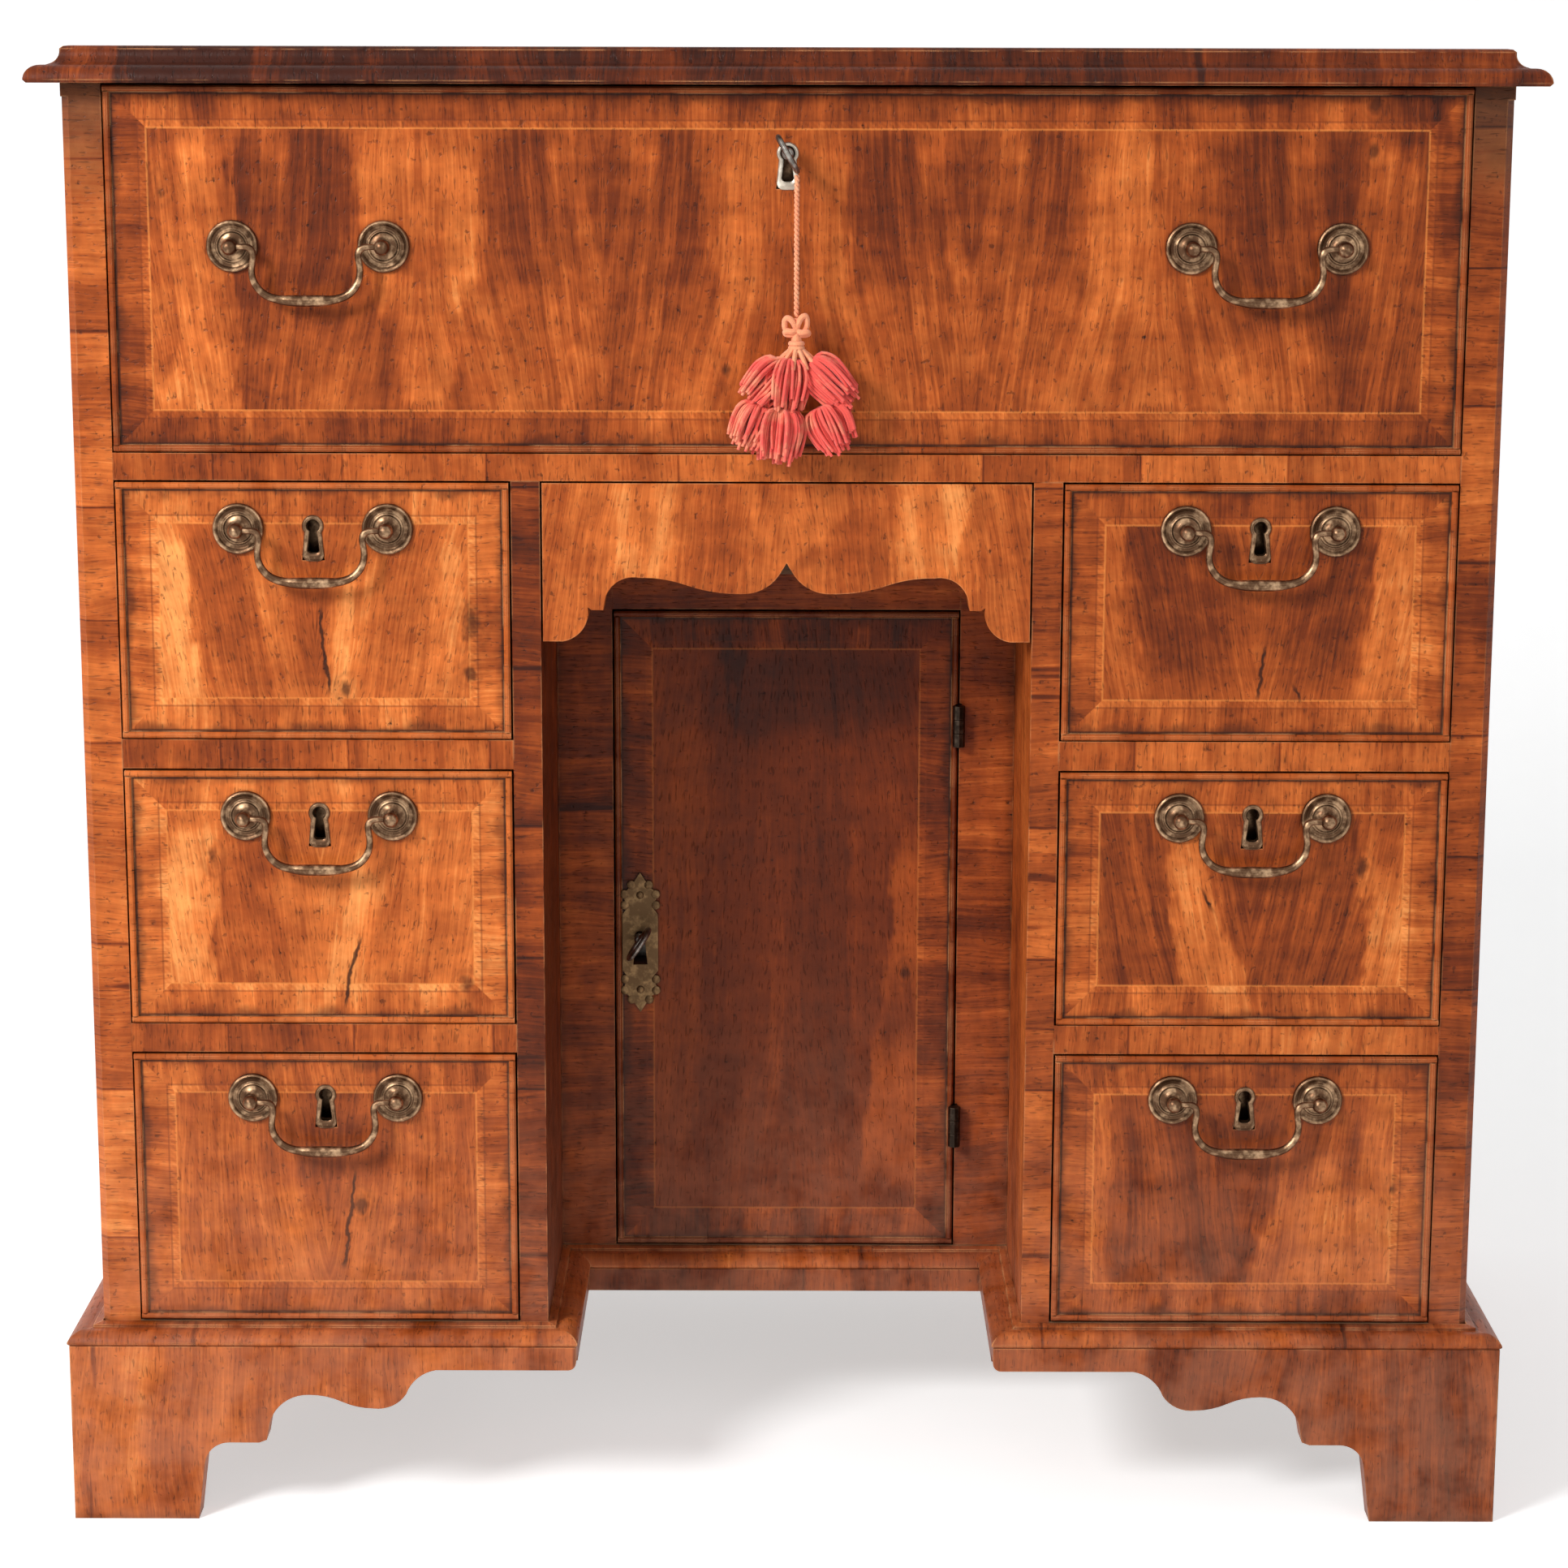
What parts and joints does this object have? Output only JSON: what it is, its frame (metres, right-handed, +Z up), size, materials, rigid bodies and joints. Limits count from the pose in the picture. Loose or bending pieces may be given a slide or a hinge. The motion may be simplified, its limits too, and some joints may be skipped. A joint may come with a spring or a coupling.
{
  "type": "kneehole desk",
  "caption": "Wooden kneehole desk with a long drawer, columns of small drawers beside a recessed cupboard, a shaped apron drawer, bracket feet and brass bail handles.",
  "frame": {"origin": "on the floor under the middle of the desk's box", "axes": "+X to the right seen from the front, +Y from the front to the back, +Z up"},
  "size_m": [0.787, 0.4914, 0.8],
  "materials": {
    "figured_walnut": "waxed, figured, crossbanded",
    "walnut": "waxed, worn",
    "oak": "dry, unpolished",
    "brass": "aged",
    "iron": "worn grey",
    "cord": "twisted",
    "tassel": "loose yarn"
  },
  "bodies": {
    "case": {"top_board": "figured_walnut", "top_edge_moulding": "walnut", "left_side_panel": "walnut", "right_side_panel": "walnut", "back_boards": "oak", "kneehole_sides": "walnut", "long_drawer_rail": "walnut", "drawer_blades": "walnut", "dust_boards": "oak", "bottom_boards": "oak", "kneehole_soffit": "oak", "base_moulding": "walnut", "front_bracket_feet": "walnut", "side_bracket_feet": "walnut", "rear_bracket_feet": "oak", "foot_blocks": "oak", "kneehole_plinth": "walnut", "cupboard_face_frame": "walnut", "stile_hinge_leaves": "brass"},
    "long_drawer": {"long_drawer_front": "figured_walnut", "long_drawer_box": "oak", "long_drawer_fittings": "brass"},
    "long_drawer_left_bail": {"long_drawer_left_bail": "brass"},
    "long_drawer_right_bail": {"long_drawer_right_bail": "brass"},
    "long_drawer_bolt": {"long_drawer_bolt": "iron"},
    "drawer_key": {"long_drawer_key": "iron"},
    "tassel": {"key_cord": "cord", "key_tassel": "tassel"},
    "apron_drawer": {"apron_drawer_front": "figured_walnut", "apron_drawer_box": "oak"},
    "door": {"door_panel": "figured_walnut", "door_keyhole_plate": "brass", "door_lock": "iron", "door_hinge_leaves": "brass"},
    "door_bolt": {"door_bolt": "iron"},
    "door_key": {"door_key": "iron"},
    "left_upper_drawer": {"left_upper_drawer_front": "figured_walnut", "left_upper_drawer_box": "oak", "left_upper_drawer_fittings": "brass"},
    "left_upper_drawer_bail": {"left_upper_drawer_bail": "brass"},
    "left_middle_drawer": {"left_middle_drawer_front": "figured_walnut", "left_middle_drawer_box": "oak", "left_middle_drawer_fittings": "brass"},
    "left_middle_drawer_bail": {"left_middle_drawer_bail": "brass"},
    "left_lower_drawer": {"left_lower_drawer_front": "figured_walnut", "left_lower_drawer_box": "oak", "left_lower_drawer_fittings": "brass"},
    "left_lower_drawer_bail": {"left_lower_drawer_bail": "brass"},
    "right_upper_drawer": {"right_upper_drawer_front": "figured_walnut", "right_upper_drawer_box": "oak", "right_upper_drawer_fittings": "brass"},
    "right_upper_drawer_bail": {"right_upper_drawer_bail": "brass"},
    "right_middle_drawer": {"right_middle_drawer_front": "figured_walnut", "right_middle_drawer_box": "oak", "right_middle_drawer_fittings": "brass"},
    "right_middle_drawer_bail": {"right_middle_drawer_bail": "brass"},
    "right_lower_drawer": {"right_lower_drawer_front": "figured_walnut", "right_lower_drawer_box": "oak", "right_lower_drawer_fittings": "brass"},
    "right_lower_drawer_bail": {"right_lower_drawer_bail": "brass"}
  },
  "joints": [
    {"name": "long_drawer_slide", "type": "slide", "parent": "case", "child": "long_drawer", "axis": [0, -1, 0], "range_m": [0, 0.3]},
    {"name": "apron_drawer_slide", "type": "slide", "parent": "case", "child": "apron_drawer", "axis": [0, -1, 0], "range_m": [0, 0.3]},
    {"name": "long_drawer_left_bail_swing", "type": "hinge", "parent": "long_drawer", "child": "long_drawer_left_bail", "pos_m": [-0.25, -0.22525, 0.6975], "axis": [-1, 0, 0], "range_deg": [0, 90]},
    {"name": "long_drawer_right_bail_swing", "type": "hinge", "parent": "long_drawer", "child": "long_drawer_right_bail", "pos_m": [0.25, -0.22525, 0.6975], "axis": [-1, 0, 0], "range_deg": [0, 90]},
    {"name": "left_upper_drawer_slide", "type": "slide", "parent": "case", "child": "left_upper_drawer", "axis": [0, -1, 0], "range_m": [0, 0.3]},
    {"name": "left_upper_drawer_bail_swing", "type": "hinge", "parent": "left_upper_drawer", "child": "left_upper_drawer_bail", "pos_m": [-0.25075, -0.22525, 0.5495], "axis": [-1, 0, 0], "range_deg": [0, 90]},
    {"name": "left_middle_drawer_slide", "type": "slide", "parent": "case", "child": "left_middle_drawer", "axis": [0, -1, 0], "range_m": [0, 0.3]},
    {"name": "left_middle_drawer_bail_swing", "type": "hinge", "parent": "left_middle_drawer", "child": "left_middle_drawer_bail", "pos_m": [-0.25075, -0.22525, 0.3945], "axis": [-1, 0, 0], "range_deg": [0, 90]},
    {"name": "left_lower_drawer_slide", "type": "slide", "parent": "case", "child": "left_lower_drawer", "axis": [0, -1, 0], "range_m": [0, 0.3]},
    {"name": "left_lower_drawer_bail_swing", "type": "hinge", "parent": "left_lower_drawer", "child": "left_lower_drawer_bail", "pos_m": [-0.25075, -0.22525, 0.2375], "axis": [-1, 0, 0], "range_deg": [0, 90]},
    {"name": "right_upper_drawer_slide", "type": "slide", "parent": "case", "child": "right_upper_drawer", "axis": [0, -1, 0], "range_m": [0, 0.3]},
    {"name": "right_upper_drawer_bail_swing", "type": "hinge", "parent": "right_upper_drawer", "child": "right_upper_drawer_bail", "pos_m": [0.25075, -0.22525, 0.5495], "axis": [-1, 0, 0], "range_deg": [0, 90]},
    {"name": "right_middle_drawer_slide", "type": "slide", "parent": "case", "child": "right_middle_drawer", "axis": [0, -1, 0], "range_m": [0, 0.3]},
    {"name": "right_middle_drawer_bail_swing", "type": "hinge", "parent": "right_middle_drawer", "child": "right_middle_drawer_bail", "pos_m": [0.25075, -0.22525, 0.3945], "axis": [-1, 0, 0], "range_deg": [0, 90]},
    {"name": "right_lower_drawer_slide", "type": "slide", "parent": "case", "child": "right_lower_drawer", "axis": [0, -1, 0], "range_m": [0, 0.3]},
    {"name": "right_lower_drawer_bail_swing", "type": "hinge", "parent": "right_lower_drawer", "child": "right_lower_drawer_bail", "pos_m": [0.25075, -0.22525, 0.2375], "axis": [-1, 0, 0], "range_deg": [0, 90]},
    {"name": "door_swing", "type": "hinge", "parent": "case", "child": "door", "pos_m": [0.0985, -0.08605, 0.3], "axis": [0, 0, 1], "range_deg": [0, 90]},
    {"name": "drawer_key_turn", "type": "hinge", "parent": "long_drawer", "child": "drawer_key", "pos_m": [0, -0.23425, 0.746], "axis": [0, 1, 0], "range_deg": [0, 90]},
    {"name": "long_drawer_bolt_throw", "type": "slide", "parent": "long_drawer", "child": "long_drawer_bolt", "axis": [0, 0, 1], "range_m": [0, 0.008]},
    {"name": "tassel_swing", "type": "hinge", "parent": "drawer_key", "child": "tassel", "pos_m": [0.00475, -0.23425, 0.73777], "axis": [0, 1, 0], "range_deg": [-90, 0]},
    {"name": "door_key_turn", "type": "hinge", "parent": "door", "child": "door_key", "pos_m": [-0.084, -0.10025, 0.296], "axis": [0, 1, 0], "range_deg": [-90, 0]},
    {"name": "door_bolt_throw", "type": "slide", "parent": "door", "child": "door_bolt", "axis": [-1, 0, 0], "range_m": [0, 0.008]}
  ],
  "couplings": [
    {"joint": "long_drawer_bolt_throw", "follows": "drawer_key_turn", "m_per_rad": 0.00509},
    {"joint": "tassel_swing", "follows": "drawer_key_turn", "ratio": -1},
    {"joint": "door_bolt_throw", "follows": "door_key_turn", "m_per_rad": -0.00509}
  ]
}
